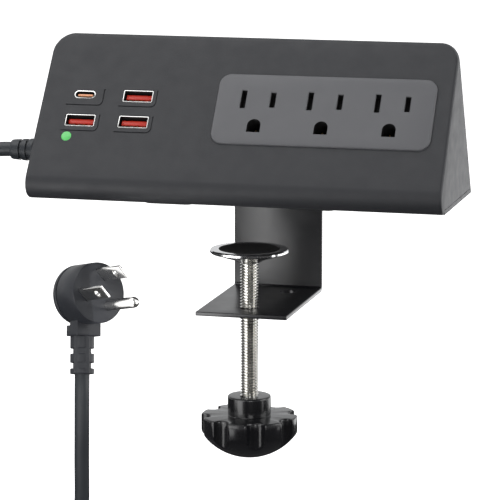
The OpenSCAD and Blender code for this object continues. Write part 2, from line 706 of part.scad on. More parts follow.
top_shell();
base_cover();
outlet_panel();
outlet_carrier();
for (i = [0 : 2]) {
    shutter(i);
    shutter_spring(i);
}
neutral_bus();
line_bus();
ground_bus();
usb_a_shell(port_x[1], port_s[0]);  // usb_a_shell_upper
usb_a_shell(port_x[0], port_s[1]);  // usb_a_shell_left
usb_a_shell(port_x[1], port_s[1]);  // usb_a_shell_right
usb_c_shell();
usb_a_tongue(port_x[1], port_s[0]);  // usb_a_tongue_upper
usb_a_tongue(port_x[0], port_s[1]);  // usb_a_tongue_left
usb_a_tongue(port_x[1], port_s[1]);  // usb_a_tongue_right
usb_c_tongue();
usb_board();
supply_board();
transformer();
capacitor();
board_screws();
indicator_lens();
indicator_led();
neutral_wire();
line_wire();
ground_wire();
strain_relief();
cord_clamp();
cord_clamp_screws();
housing_screws();
clamp_bracket();
bracket_screws();
desk_pad(-1);  // desk_pad_left
desk_pad(1);  // desk_pad_right
pressure_pad();
pad_cushion();
clamp_screw();
clamp_knob();
power_cord();
cord_coil();
plug_cord();
cord_tie();
plug_body();
plug_cap();
plug_relief();
line_blade();
neutral_blade();
ground_pin();
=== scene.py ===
import json
from math import sin, cos, tan, atan, pi, radians, sqrt, hypot

import bmesh
import bpy
from mathutils import Matrix, Vector

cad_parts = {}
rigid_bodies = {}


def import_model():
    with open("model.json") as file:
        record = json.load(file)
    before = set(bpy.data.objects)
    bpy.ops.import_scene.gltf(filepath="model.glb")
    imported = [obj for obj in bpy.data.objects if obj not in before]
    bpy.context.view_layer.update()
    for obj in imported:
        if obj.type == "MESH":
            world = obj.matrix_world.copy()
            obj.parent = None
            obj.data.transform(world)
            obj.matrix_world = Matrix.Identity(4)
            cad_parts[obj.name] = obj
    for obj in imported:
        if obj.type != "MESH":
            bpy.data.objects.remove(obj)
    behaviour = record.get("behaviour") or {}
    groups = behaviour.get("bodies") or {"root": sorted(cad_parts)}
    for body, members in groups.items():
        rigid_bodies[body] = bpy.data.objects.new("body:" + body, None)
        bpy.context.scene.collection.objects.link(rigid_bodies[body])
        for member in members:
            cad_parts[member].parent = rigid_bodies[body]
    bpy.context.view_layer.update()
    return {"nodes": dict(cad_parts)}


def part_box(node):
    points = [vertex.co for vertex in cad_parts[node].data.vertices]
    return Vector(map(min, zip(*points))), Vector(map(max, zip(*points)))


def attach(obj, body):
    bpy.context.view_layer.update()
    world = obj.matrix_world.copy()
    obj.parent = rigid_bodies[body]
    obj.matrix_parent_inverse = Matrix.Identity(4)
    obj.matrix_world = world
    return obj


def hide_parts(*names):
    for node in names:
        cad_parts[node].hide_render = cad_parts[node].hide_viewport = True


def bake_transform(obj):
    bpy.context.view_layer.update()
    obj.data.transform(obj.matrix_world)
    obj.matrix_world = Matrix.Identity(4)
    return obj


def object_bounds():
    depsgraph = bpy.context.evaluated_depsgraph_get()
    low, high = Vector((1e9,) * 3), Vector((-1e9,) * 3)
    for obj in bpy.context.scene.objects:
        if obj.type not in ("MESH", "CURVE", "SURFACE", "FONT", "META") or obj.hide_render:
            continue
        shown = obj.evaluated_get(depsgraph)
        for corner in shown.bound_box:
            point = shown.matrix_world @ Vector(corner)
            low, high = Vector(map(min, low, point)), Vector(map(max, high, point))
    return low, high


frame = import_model()
MM = 0.001

# ------------------------------------------------------------------ camera
AZIMUTH, ELEVATION, DISTANCE = radians(14.73), radians(10.34), 1.1878
aim = Vector((0.0, 0.0011, -0.0217))
away = Vector((sin(AZIMUTH) * cos(ELEVATION), -cos(AZIMUTH) * cos(ELEVATION), sin(ELEVATION)))
camera = bpy.data.objects.new("camera", bpy.data.cameras.new("camera"))
bpy.context.scene.collection.objects.link(camera)
camera.location = aim + away * DISTANCE
camera.rotation_euler = (-away).to_track_quat("-Z", "Y").to_euler()
camera.data.sensor_width = 36.0
camera.data.lens = 200.2
camera.data.clip_end = 50.0
bpy.context.scene.camera = camera


# ------------------------------------------------------------------ nodes for materials
def material(name, colour, rough=0.5, metal=0.0, spec=0.5, grain=0.0, grain_scale=2500.0, mottle=0.06,
             mottle_scale=60.0, rough_var=0.08, coat=0.0, coat_rough=0.1, emit=None, extra=None):
    """A procedural surface: mottled colour, varied roughness and fine bump, from noise in object space."""
    m = bpy.data.materials.new(name)
    m.use_nodes = True
    nt = m.node_tree
    b = nt.nodes["Principled BSDF"]
    coords = nt.nodes.new("ShaderNodeTexCoord").outputs["Object"]

    def noise(scale, detail=3.0):
        n = nt.nodes.new("ShaderNodeTexNoise")
        n.inputs["Scale"].default_value = scale
        n.inputs["Detail"].default_value = detail
        nt.links.new(coords, n.inputs["Vector"])
        return n.outputs["Fac"]

    def ramp(source, low, high):
        r = nt.nodes.new("ShaderNodeMapRange")
        r.inputs["From Min"].default_value = 0.3
        r.inputs["From Max"].default_value = 0.7
        r.inputs["To Min"].default_value = low
        r.inputs["To Max"].default_value = high
        nt.links.new(source, r.inputs["Value"])
        return r.outputs["Result"]

    mix = nt.nodes.new("ShaderNodeMix")
    mix.data_type = "RGBA"
    mix.inputs["A"].default_value = [c * (1 - mottle) for c in colour] + [1]
    mix.inputs["B"].default_value = [min(1, c * (1 + mottle)) for c in colour] + [1]
    nt.links.new(noise(mottle_scale), mix.inputs["Factor"])
    nt.links.new(mix.outputs["Result"], b.inputs["Base Color"])
    nt.links.new(ramp(noise(mottle_scale * 3), rough * (1 - rough_var), min(1, rough * (1 + rough_var))),
                 b.inputs["Roughness"])
    b.inputs["Metallic"].default_value = metal
    b.inputs["Specular IOR Level"].default_value = spec
    b.inputs["Coat Weight"].default_value = coat
    b.inputs["Coat Roughness"].default_value = coat_rough
    if grain:
        bump = nt.nodes.new("ShaderNodeBump")
        bump.inputs["Strength"].default_value = min(1.0, grain)
        bump.inputs["Distance"].default_value = 0.00008
        nt.links.new(noise(grain_scale, 2.0), bump.inputs["Height"])
        nt.links.new(bump.outputs["Normal"], b.inputs["Normal"])
    if emit:
        b.inputs["Emission Color"].default_value = list(emit[:3]) + [1]
        b.inputs["Emission Strength"].default_value = emit[3]
    if extra:
        extra(nt, b, coords, mix)
    return m


M = {
    "shell": material("shell_grey", (0.026, 0.027, 0.031), 0.55, grain=0.35, grain_scale=1800, mottle=0.025),
    "panel": material("panel_grey", (0.115, 0.116, 0.124), 0.5, grain=0.25, grain_scale=1800, mottle=0.04),
    "pad": material("pad_black", (0.02, 0.02, 0.021), 0.8, grain=0.8, grain_scale=1500),
    "black_gloss": material("knob_black", (0.005, 0.005, 0.006), 0.2, coat=0.15, coat_rough=0.12, mottle=0.1),
    "paint": material("paint_black", (0.010, 0.010, 0.012), 0.3, grain=0.12, grain_scale=400, coat=0.3,
                      coat_rough=0.25),
    "chrome": material("chrome", (0.78, 0.78, 0.79), 0.12, metal=1.0, mottle=0.03, rough_var=0.3),
    "rod": material("rod_steel", (0.68, 0.67, 0.64), 0.18, metal=1.0, mottle=0.05, rough_var=0.3),
    "steel": material("zinc_steel", (0.55, 0.55, 0.54), 0.35, metal=1.0, mottle=0.08, grain=0.2),
    "tin": material("port_tin", (0.72, 0.72, 0.71), 0.28, metal=1.0, mottle=0.05, rough_var=0.2),
    "brass": material("contact_brass", (0.72, 0.5, 0.2), 0.3, metal=1.0, mottle=0.1, rough_var=0.25),
    "nickel": material("pin_nickel", (0.86, 0.85, 0.83), 0.2, metal=1.0, mottle=0.06, rough_var=0.25),
    "cord": material("cord_grey", (0.026, 0.030, 0.036), 0.45, grain=0.3, grain_scale=900, mottle=0.05),
    "plug": material("plug_grey", (0.026, 0.028, 0.034), 0.42, grain=0.3, grain_scale=1500, mottle=0.06),
    # inner: the inner parts' own black, and painted shade on the walls that cutters leave in openings, slots
    # and ports
    "inner": material("inner_black_and_painted_shade", (0.006, 0.006, 0.006), 0.7, grain=0.3),
    "shutter": material("shutter_black", (0.008, 0.008, 0.008), 0.6, grain=0.2),
    "red": material("tongue_red", (0.72, 0.035, 0.016), 0.32, mottle=0.1),
    "orange": material("tongue_orange", (0.95, 0.42, 0.22), 0.32, mottle=0.1),
    "board": material("board_green", (0.02, 0.11, 0.05), 0.35, mottle=0.2, mottle_scale=400, coat=0.5),
    "tape": material("winding_tape", (0.75, 0.5, 0.06), 0.4, mottle=0.1, coat=0.4),
    "ferrite": material("ferrite", (0.03, 0.03, 0.032), 0.6, grain=0.4),
    "lens": material("lamp_green", (0.11, 0.50, 0.14), 0.25, emit=(0.15, 0.72, 0.17, 0.2), mottle=0.1,
                     mottle_scale=500),
    "lamp": material("lamp_clear", (0.6, 0.9, 0.6), 0.2, mottle=0.05),
    "white_wire": material("wire_white", (0.75, 0.75, 0.72), 0.4, mottle=0.04),
    "black_wire": material("wire_black", (0.012, 0.012, 0.012), 0.4, mottle=0.04),
    "green_wire": material("wire_green", (0.02, 0.3, 0.05), 0.4, mottle=0.04),
}


def weave(nt, b, coords, mix):
    """Loops of a hook-and-loop strap."""
    v = nt.nodes.new("ShaderNodeTexVoronoi")
    v.inputs["Scale"].default_value = 1400
    nt.links.new(coords, v.inputs["Vector"])
    bump = nt.nodes.new("ShaderNodeBump")
    bump.inputs["Strength"].default_value = 0.9
    bump.inputs["Distance"].default_value = 0.0003
    nt.links.new(v.outputs["Distance"], bump.inputs["Height"])
    nt.links.new(bump.outputs["Normal"], b.inputs["Normal"])
    b.inputs["Sheen Weight"].default_value = 0.4


M["tie"] = material("tie_black", (0.012, 0.012, 0.013), 0.9, extra=weave)


# ------------------------------------------------------------------ mesh helpers (millimetres in, metres out)
def finish_mesh(me, angle=32.0):
    """Consistent normals, smooth faces, and sharp edges above an angle."""
    bm = bmesh.new()
    bm.from_mesh(me)
    bmesh.ops.remove_doubles(bm, verts=bm.verts, dist=1e-7)
    bmesh.ops.dissolve_degenerate(bm, edges=bm.edges, dist=1e-7)
    bmesh.ops.recalc_face_normals(bm, faces=bm.faces)
    for f in bm.faces:
        f.smooth = True
    for e in bm.edges:
        e.smooth = len(e.link_faces) == 2 and e.calc_face_angle(pi) < radians(angle)
    bm.to_mesh(me)
    bm.free()


def piece(name, verts, faces, mat=None, body=None, slot=None, stands_for=(), at=None, angle=32.0):
    me = bpy.data.meshes.new(name)
    at = at or Matrix.Identity(4)
    me.from_pydata([(at @ Vector(v)) * MM for v in verts], [], faces)
    finish_mesh(me, angle)
    ob = bpy.data.objects.new(name, me)
    bpy.context.scene.collection.objects.link(ob)
    if mat:
        me.materials.append(M[mat])
    if body:
        settle(ob, body, stands_for)
    return ob


def settle(ob, body, stands_for=()):
    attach(ob, body)
    if stands_for:
        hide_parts(*stands_for)


def bake(ob, angle=32.0):
    """Applies the modifiers."""
    deps = bpy.context.evaluated_depsgraph_get()
    me = bpy.data.meshes.new_from_object(ob.evaluated_get(deps))
    ob.modifiers.clear()
    old = ob.data
    ob.data = me
    bpy.data.meshes.remove(old)
    finish_mesh(me, angle)
    return ob


def cut(ob, *cutters, operation="DIFFERENCE"):
    """Booleans; a cutter with a material of its own leaves it on the surfaces that it makes."""
    for c in cutters:
        m = ob.modifiers.new("cut", "BOOLEAN")
        m.object = c
        m.operation = operation
        m.solver = "EXACT"
        m.material_mode = "TRANSFER" if c.data.materials else "INDEX"
    bake(ob)
    for c in cutters:
        bpy.data.objects.remove(c)
    return ob


def bevel(ob, width, segments=2, angle=35.0):
    m = ob.modifiers.new("bevel", "BEVEL")
    m.width = width * MM
    m.segments = segments
    m.limit_method = "ANGLE"
    m.angle_limit = radians(angle)
    m.harden_normals = False
    return bake(ob)


def join(obs):
    """One mesh of several, in the first one's object."""
    bm = bmesh.new()
    for o in obs:
        bm.from_mesh(o.data)
    bm.to_mesh(obs[0].data)
    bm.free()
    for o in obs[1:]:
        bpy.data.objects.remove(o)
    finish_mesh(obs[0].data)
    return obs[0]


def loft(rings, closed_ring=True, caps=True, closed_path=False):
    """Faces between equal rings of points."""
    verts = [p for r in rings for p in r]
    n, k = len(rings), len(rings[0])
    faces = []
    for i in range(n if closed_path else n - 1):
        j = (i + 1) % n
        for a in range(k if closed_ring else k - 1):
            c = (a + 1) % k
            faces.append((i * k + a, i * k + c, j * k + c, j * k + a))
    if caps and not closed_path:
        faces += [tuple(range(k - 1, -1, -1)), tuple((n - 1) * k + a for a in range(k))]
    return verts, faces


def lathe(profile, segments=64):
    """Turns a closed (r, z) outline round Z."""
    rings = [[(r * cos(2 * pi * a / segments), r * sin(2 * pi * a / segments), z) for r, z in profile]
             for a in range(segments)]
    return loft(rings, closed_path=True)


def prism(outline, z0, z1):
    return loft([[(x, y, z0) for x, y in outline], [(x, y, z1) for x, y in outline]])


def rounded(w, h, r, n=8, cx=0.0, cy=0.0):
    """Outline of a rectangle with round corners."""
    out = []
    for sx, sy, a0 in ((1, 1, 0), (-1, 1, 90), (-1, -1, 180), (1, -1, 270)):
        for i in range(n + 1):
            a = radians(a0 + 90 * i / n)
            out.append((cx + sx * (w / 2 - r) + r * cos(a), cy + sy * (h / 2 - r) + r * sin(a)))
    return out


def circle(r, n=32, cx=0.0, cy=0.0):
    return [(cx + r * cos(2 * pi * i / n), cy + r * sin(2 * pi * i / n)) for i in range(n)]


def arc_points(cx, cy, r, a0, a1, n):
    return [(cx + r * cos(radians(a0 + (a1 - a0) * i / n)), cy + r * sin(radians(a0 + (a1 - a0) * i / n)))
            for i in range(n + 1)]


def smooth_path(points, parts):
    """Points on a smooth curve through the given ones."""
    out = []
    n = len(points) - 1
    for i in range(n):
        p0, p1, p2, p3 = (Vector(points[max(i - 1, 0)]), Vector(points[i]), Vector(points[i + 1]),
                          Vector(points[min(i + 2, n)]))
        for j in range(parts):
            t = j / parts
            out.append(0.5 * (2 * p1 + (p2 - p0) * t + (2 * p0 - 5 * p1 + 4 * p2 - p3) * t * t
                              + (3 * p1 - p0 - 3 * p2 + p3) * t ** 3))
    return out + [Vector(points[-1])]


def swept(path, radius, sides=12):
    """Round tube along a path of points."""
    path = [Vector(p) for p in path]
    rings, was = [], None
    for i, p in enumerate(path):
        d = (path[min(i + 1, len(path) - 1)] - path[max(i - 1, 0)]).normalized()
        if was is None:
            was = d.orthogonal()
        was = (was - d * was.dot(d)).normalized()
        other = d.cross(was)
        r = radius(i / (len(path) - 1)) if callable(radius) else radius
        rings.append([p + r * (cos(2 * pi * k / sides) * was + sin(2 * pi * k / sides) * other)
                      for k in range(sides)])
    return loft(rings)


# ------------------------------------------------------------------ the cord
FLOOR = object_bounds()[0][2] / MM
CORD_R = 3.25
LOW = FLOOR + 1 + CORD_R
HIGH = LOW + 2 * CORD_R
COIL = Vector((-92, 11.5))
FIRST_AZIMUTH, TURNS, MIDDLE = 200.4, 5.183, 2.909

power_route = [(-74, 20, 15), (-87.5, 20, 15), (-101, 20, 15), (-116, 20, 15), (-123.2, 20, 14.05),
               (-130, 20, 11.25), (-135.8, 20, 6.8), (-140.25, 20, 1), (-143.05, 20, -5.75),
               (-144, 20, -13), (-144, 20, -40), (-144, 20, -70), (-144.1, 20.1, -105),
               (-144.5, 20.6, -138.7), (-144.1, 19.5, -147.1), (-142.8, 15.9, -154.6),
               (-140.7, 10.3, -160.6), (-138.1, 3.2, -164.4)]
PLUG = (Matrix.Translation((-66, -30, -88)) @ Matrix.Rotation(radians(14.7), 4, "Z")
        @ Matrix.Rotation(radians(-16), 4, "X") @ Matrix.Rotation(radians(51 - 14.7), 4, "Z")
        @ Matrix.Translation((0, 0, 88)))
NECK_END, SLEEVE_END = -57.2, -73.3
plug_route = [(-83.9, -30, -157.1), (-74.8, -30, -151.05), (-68.7, -30, -142), (-66.6, -30, -131.3),
              (-66.3, -30, -110), (-66.1, -30, -97)]
plug_route += [tuple(PLUG @ Vector((0, 0, z))) for z in (-82, SLEEVE_END, -65, NECK_END)]
coil_route = []
STEPS = 200
for i in range(STEPS + 1):
    n = TURNS * i / STEPS
    t = min(1.0, max(0.0, (n - MIDDLE + 0.3) / 0.6))
    rise = t * t * (3 - 2 * t)
    r = 26.9 + (6.6 - 0.2 * rise) * hypot(n - MIDDLE, 0.12)
    a = radians(FIRST_AZIMUTH + 360 * n)
    coil_route.append((COIL.x + r * cos(a), COIL.y + r * sin(a), LOW + (HIGH - LOW) * rise))
cord_path = smooth_path(power_route + coil_route[:1], 4)[:-1] + [Vector(p) for p in coil_route[:-1]] \
    + smooth_path(coil_route[-1:] + plug_route, 4)
curve = bpy.data.curves.new("power_lead", "CURVE")
curve.dimensions = "3D"
curve.bevel_depth = CORD_R * MM
curve.bevel_resolution = 6
curve.use_fill_caps = True
spline = curve.splines.new("POLY")
spline.points.add(len(cord_path) - 1)
for point, p in zip(spline.points, cord_path):
    point.co = (p.x * MM, p.y * MM, p.z * MM, 1)
spline.use_smooth = True
curve.materials.append(M["cord"])
lead = bpy.data.objects.new("power_lead", curve)
bpy.context.scene.collection.objects.link(lead)
settle(lead, "strip", ("power_cord", "cord_coil", "plug_cord"))

# ------------------------------------------------------------------ the housing
BODY_W, FRONT_Y, REAR_Y, BASE_Z = 178.8, -40.0, 42.0, 1.8
LEAN = radians(36.5)
APEX_H = 69.3
NOSE, RIDGE, CORNER, REAR_EDGE, DRAFT = 6.8, 3.0, 8.5, 8.0, 0.9
REAR_LEAN = atan((82.0 - APEX_H * tan(LEAN)) / APEX_H)
ON_FACE = Matrix.Translation((0, FRONT_Y, BASE_Z)) @ Matrix.Rotation(pi / 2 - LEAN, 4, "X")


def fillet(r, u):
    """How far a face has drawn in at distance u from an end that is rounded by r."""
    return 0.0 if u >= r else r - sqrt(max(0.0, r * r - (r - u) ** 2))


def apex(front, rear):
    """Where the front and rear faces meet once each has moved inwards."""
    y0 = FRONT_Y + front / cos(LEAN)
    y1 = REAR_Y - rear / cos(REAR_LEAN)
    h = (y1 - y0) / (tan(LEAN) + tan(REAR_LEAN))
    return y0 + h * tan(LEAN), BASE_Z + h


def section(u, inset, low, side_r):
    """Outline in Y-Z at distance u inside the end face: bottom, nose, front, ridge and rear."""
    front = inset + fillet(side_r, u)
    rear = inset + fillet(REAR_EDGE, u)
    ridge = max(RIDGE - inset, 0.5)
    top = apex(RIDGE, RIDGE)[1] + RIDGE - inset - fillet(CORNER, u)
    y_a, z_a = apex(front + ridge, rear + ridge)
    ny = FRONT_Y + NOSE * tan(LEAN) + NOSE / cos(LEAN)
    nz = BASE_Z + NOSE
    nr = NOSE - inset - fillet(side_r, u)
    base = [(ny + nr * cos(radians(a)), nz + nr * sin(radians(a)))
            for a in [270 - i * (90 + 36.5) / 14 for i in range(15)]]
    base = [(y, max(z, low)) for y, z in base]
    pts = [(REAR_Y - (low - BASE_Z) * tan(REAR_LEAN) - rear / cos(REAR_LEAN), low), (ny + 0.02, low)] + base
    # up the front, round the ridge and down the rear, never above the end's own rounding
    a0, a1 = 180 - 36.5, REAR_LEAN * 180 / pi
    upper = [(y_a + ridge * cos(radians(a0 + (a1 - a0) * i / 10)),
              z_a + ridge * sin(radians(a0 + (a1 - a0) * i / 10))) for i in range(11)]
    y_n, z_n = base[-1]
    y_f, z_f = upper[0]
    front_line = [(y_n + (y_f - y_n) * i / 12, z_n + (z_f - z_n) * i / 12) for i in range(1, 12)]
    y_r, z_r = upper[-1]
    rear_line = [(y_r + (pts[0][0] - y_r) * i / 12, z_r + (low - z_r) * i / 12) for i in range(1, 12)]
    line = front_line + upper + rear_line
    out = []
    for i, (y, z) in enumerate(line):
        if z > top:
            # slide along the face to the height where it is cut off
            if i < len(front_line) + 5:
                y = min(y, y_n + (y_f - y_n) * (top - z_n) / (z_f - z_n)) if top < z_f else y
            else:
                y = max(y, y_r + (pts[0][0] - y_r) * (z_r - top) / (z_r - low)) if top < z_r else y
            z = top
        out.append((y, z))
    return pts + out


def skin(inset, low, side_r=1.0):
    """The housing's surface, moved inwards, as rings of points from end to end; the ends are drafted."""
    half = BODY_W / 2 - inset
    steps = [0, 0.15, 0.5, 1.0, 1.5, 2.0, 2.8, 3.8, 5.0, 6.5, 8.0, 10.0, 20.0, 40.0, 62.0]
    stations = [-half + s for s in steps] + [0.0] + [half - s for s in reversed(steps)]
    return [[(x * (1 - DRAFT * (z - BASE_Z) / 67 / 89), y, z)
             for y, z in section(half - abs(x), inset, low, side_r)] for x in stations]


SEAM = 3.8
CORD_EXIT = (-BODY_W / 2, 20, 15)
outer_v, outer_f = loft(skin(0.0, BASE_Z))
shell = piece("housing_shell", outer_v, outer_f, "shell")
inner_v, inner_f = loft(skin(2.4, SEAM - 3.0, 0.5))
hollow = piece("hollow", inner_v, inner_f)
v, f = loft([[(x, y, z) for y, z in ((-26.51, -5), (50, -5), (50, SEAM), (-26.51, SEAM))] for x in (-95, 95)])
cutters = [piece("c_base", v, f), hollow]
PANEL_X, PANEL_S = 35.0, 47.95
SLOT_S = 52.6
OUTLETS = (35 - 28.75, 35.0, 35 + 28.75)
PORTS = ((-46.5, 52.65), (-70.0, 40.2), (-46.5, 40.2))
USB_C = (-70.0, 52.65)
LED = (-74.7, 32.3)


def face_cutter(name, outline, t0, t1, mat=None):
    v, f = prism(outline, t0, t1)
    return piece(name, v, f, mat, at=ON_FACE)


# The panel opening and the port openings get black walls from their cutters: painted shade inside the
# openings.
cutters.append(face_cutter("c0", rounded(93.8, 33.8, 5.35, 10, PANEL_X, PANEL_S), -6, 3, "inner"))
for i, (x, s) in enumerate(PORTS):
    cutters.append(face_cutter(f"c_a{i}", rounded(13.5, 6.1, 0.5, 3, x, s), -6, 3, "inner"))
cutters.append(face_cutter("c_c", rounded(9.9, 4.2, 2.09, 10, *USB_C), -6, 3, "inner"))
cutters.append(face_cutter("c_led", circle(2.25, 32, *LED), -6, 3))
v, f = prism(circle(5.05, 32), -10, 10)
cord_exit = Matrix.Translation(CORD_EXIT)
cutters.append(piece("c_cord", v, f, at=cord_exit @ Matrix.Rotation(pi / 2, 4, "Y")))


def groove_outline(w):
    """Line along the bottom of a port and up its right side, with a round bend."""
    left, right, low, top, r = -7.8, 8.6, -5.3, 2.9, 2.5
    out = [(left, low), (right - r, low)]
    out += arc_points(right - r, low + r, r, 270, 360, 8)[1:] + [(right, top)]
    back = [(right - w, top)] + arc_points(right - r, low + r, r - w, 360, 270, 8) + [(left, low + w)]
    return out + back


for i, (x, s) in enumerate(PORTS + (USB_C,)):
    cutters.append(face_cutter(f"c_g{i}", [(x + a, s + b) for a, b in groove_outline(0.5)], -0.4, 2))
cut(shell, *cutters)
settle(shell, "strip", ("top_shell",))

cover_v, cover_f = loft(skin(0.0, BASE_Z))
cover = piece("base_plate", cover_v, cover_f, "shell")
v, f = loft([[(x, y, z) for y, z in ((-26.35, -5), (50, -5), (50, SEAM - 0.2), (-26.35, SEAM - 0.2))]
             for x in (-95, 95)])
keep = piece("keep", v, f)
cut(cover, keep, operation="INTERSECT")
CASE_SCREWS = ((-84, -15), (84, -15), (-79, 31), (79, 31))
holes = []
for i, (x, y) in enumerate(CASE_SCREWS):
    v, f = lathe([(0, 1), (3.0, 1), (3.0, 1.8), (1.7, 3.3), (1.7, 6), (0, 6)], 24)
    holes.append(piece(f"h{i}", v, f, at=Matrix.Translation((x, y, 0))))
cut(cover, *holes)
settle(cover, "strip", ("base_cover",))

# ------------------------------------------------------------------ outlet panel
v, f = prism(rounded(93.5, 33.5, 5.2, 12, PANEL_X, PANEL_S), -2.4, 0.8)
panel = piece("outlet_face", v, f, "panel", at=ON_FACE)
bevel(panel, 0.65, 4, 60)
v, f = prism(rounded(97.5, 37.5, 7.2, 8, PANEL_X, PANEL_S), -3.6, -2.4)
flange = piece("panel_flange", v, f, "panel", at=ON_FACE)
slots = []
# Slot and ground-hole walls in the panel and its flange are black: painted shade in the slots.
for i, x in enumerate(OUTLETS):
    s = SLOT_S
    for j, (dx, w, h) in enumerate(((-6.35, 2.2, 8.4), (6.35, 2.2, 7.0))):
        slots.append(face_cutter(f"s{i}{j}", rounded(w, h, 0.25, 2, x + dx, s), -9, 3, "inner"))
        lip = [[(a, b, t) for a, b in rounded(w + g, h + g, 0.25 + g / 2, 2, x + dx, s)]
               for t, g in ((0.45, 0.0), (0.9, 0.9))]
        slots.append(piece(f"l{i}{j}", *loft(lip), at=ON_FACE))
    arch = arc_points(x, s - 12.3, 2.9, 0, 180, 14) + [(x - 2.9, s - 12.3 - 3.3), (x + 2.9, s - 12.3 - 3.3)]
    slots.append(face_cutter(f"g{i}", arch, -9, 3, "inner"))
for o in slots:
    twin = o.copy()
    twin.data = o.data.copy()
    bpy.context.scene.collection.objects.link(twin)
    o["twin"] = twin.name
twins = [bpy.data.objects[o["twin"]] for o in slots]
cut(panel, *slots)
cut(flange, *twins)
settle(panel, "strip", ("outlet_panel",))
settle(flange, "strip")

# ------------------------------------------------------------------ USB ports and lamp
for name, (x, s) in zip(("upper", "left", "right"), PORTS):
    v, f = prism(rounded(13.2, 5.8, 0.6, 4, x, s), -14.4, -0.15)
    tube = piece(f"usb_a_{name}_shell", v, f, "tin", at=ON_FACE)
    bevel(tube, 0.12, 2, 60)
    # The inside of the metal shell and its windows get black walls: painted shade in the port.
    holes = [face_cutter("ua", rounded(12.4, 5.0, 0.35, 3, x, s), -14.0, 3, "inner")]
    for dx in (-3.0, 3.0):
        holes.append(face_cutter(f"uw{dx}", rounded(1.6, 8.0, 0.3, 2, x + dx, s), -7.5, -4.2, "inner"))
    cut(tube, *holes)
    settle(tube, "strip", (f"usb_a_shell_{name}",))
    v, f = prism(rounded(11.2, 2.2, 0.2, 2, x, s + 0.4), -14.0, -2.0)
    tongue = piece(f"usb_a_{name}_tongue", v, f, "red", at=ON_FACE)
    bevel(tongue, 0.2, 2)
    settle(tongue, "strip", (f"usb_a_tongue_{name}",))
    pads = []
    for k in range(4):
        v, f = prism(rounded(1.2, 0.25, 0.1, 2, x + (k - 1.5) * 2.3, s - 0.75), -12.5, -2.6)
        pads.append(piece(f"usb_a_{name}_contacts_{k}", v, f, "brass", at=ON_FACE))
    settle(join(pads), "strip")
    v, f = loft([[(x + a, s - 2.5 + b, t) for a, b in ((3.0, 0.0), (5.0, 0.0), (5.0, h), (3.0, h))]
                 for t, h in ((-5.0, 0.15), (-2.2, 0.9), (-1.2, 0.85), (-0.3, 0.1))])
    settle(piece(f"usb_a_{name}_leaf", v, f, "tin", at=ON_FACE), "strip")

x, s = USB_C
v, f = prism(rounded(9.6, 3.9, 1.94, 12, x, s), -14.4, 0.0)
tube = piece("usb_c_ring", v, f, "tin", at=ON_FACE)
bevel(tube, 0.12, 2, 60)
# The inside of the ring gets black walls: painted shade in the port.
cut(tube, face_cutter("uc", rounded(8.6, 2.9, 1.44, 12, x, s), -13.9, 3, "inner"))
settle(tube, "strip", ("usb_c_shell",))
v, f = prism(rounded(6.7, 0.9, 0.3, 3, x, s), -13.9, -0.6)
tongue = piece("usb_c_blade", v, f, "orange", at=ON_FACE)
bevel(tongue, 0.12, 2, 60)
settle(tongue, "strip", ("usb_c_tongue",))

dome = [(0, -2.0), (2.2, -2.0), (2.2, -0.05), (2.05, 0.12), (1.6, 0.22), (1.0, 0.28), (0, 0.3)]
v, f = lathe(dome, 40)
lens = piece("lamp_window", v, f, "lens", at=ON_FACE @ Matrix.Translation((*LED, 0)))
settle(lens, "strip", ("indicator_lens",))

# ------------------------------------------------------------------ steel bracket
STRAP = 20.0


def strap_section(r=1.0, t=1.8):
    """Outline of the bent strip in Y-Z."""
    low, back = -46.5 - t, 50.0 + t
    c = back - t - r
    out = [(-8, 0), (c, 0)] + arc_points(c, -r, r, 90, 0, 6)[1:] + [(50, -46.5 + r)]
    out += arc_points(c, -46.5 + r, r, 0, -90, 6)[1:] + [(-14.5, -46.5), (-14.5, low)]
    out += [(c, low)] + arc_points(c, low + r + t, r + t, 270, 360, 8)[1:]
    out += [(back, t - r - t)] + arc_points(c, t - r - t, r + t, 0, 90, 8)[1:] + [(-8, t)]
    return out


outline = strap_section()
v, f = loft([[(x, y, z) for y, z in outline] for x in (-STRAP, STRAP)])
strap = piece("clamp_strap", v, f, "paint")
bevel(strap, 0.35, 3, 60)
holes = []
v, f = prism(circle(4.05, 40), -50, -45)
holes.append(piece("h_screw", v, f))
v, f = prism(circle(3.75, 40, 7.5, 38.5), -50, -45)
holes.append(piece("h_spare", v, f))
BRACKET_SCREWS = ((-12, 4), (12, 4), (-12, 31), (12, 31))
for i, (x, y) in enumerate(BRACKET_SCREWS):
    v, f = lathe([(0, -1), (3.05, -1), (3.05, 0.0), (1.7, 1.45), (1.7, 4), (0, 4)], 24)
    holes.append(piece(f"h_b{i}", v, f, at=Matrix.Translation((x, y, 0))))
cut(strap, *holes)
settle(strap, "strip", ("clamp_bracket",))

for side, name in ((-1, "left"), (1, "right")):
    v, f = prism(rounded(21.0, 50.0, 3.0, 8, side * 30.75, 6.0), 0.0, 1.8)
    foot = piece(f"foot_{name}", v, f, "pad")
    bevel(foot, 0.5, 3, 60)
    ribs = []
    for k in range(9):
        v, f = prism(rounded(17.0, 1.2, 0.59, 6, side * 30.75, 6.0 + (k - 4) * 5.2), -1, 0.5)
        ribs.append(piece(f"rib{k}", v, f))
    cut(foot, *ribs)
    settle(foot, "strip", (f"desk_pad_{name}",))


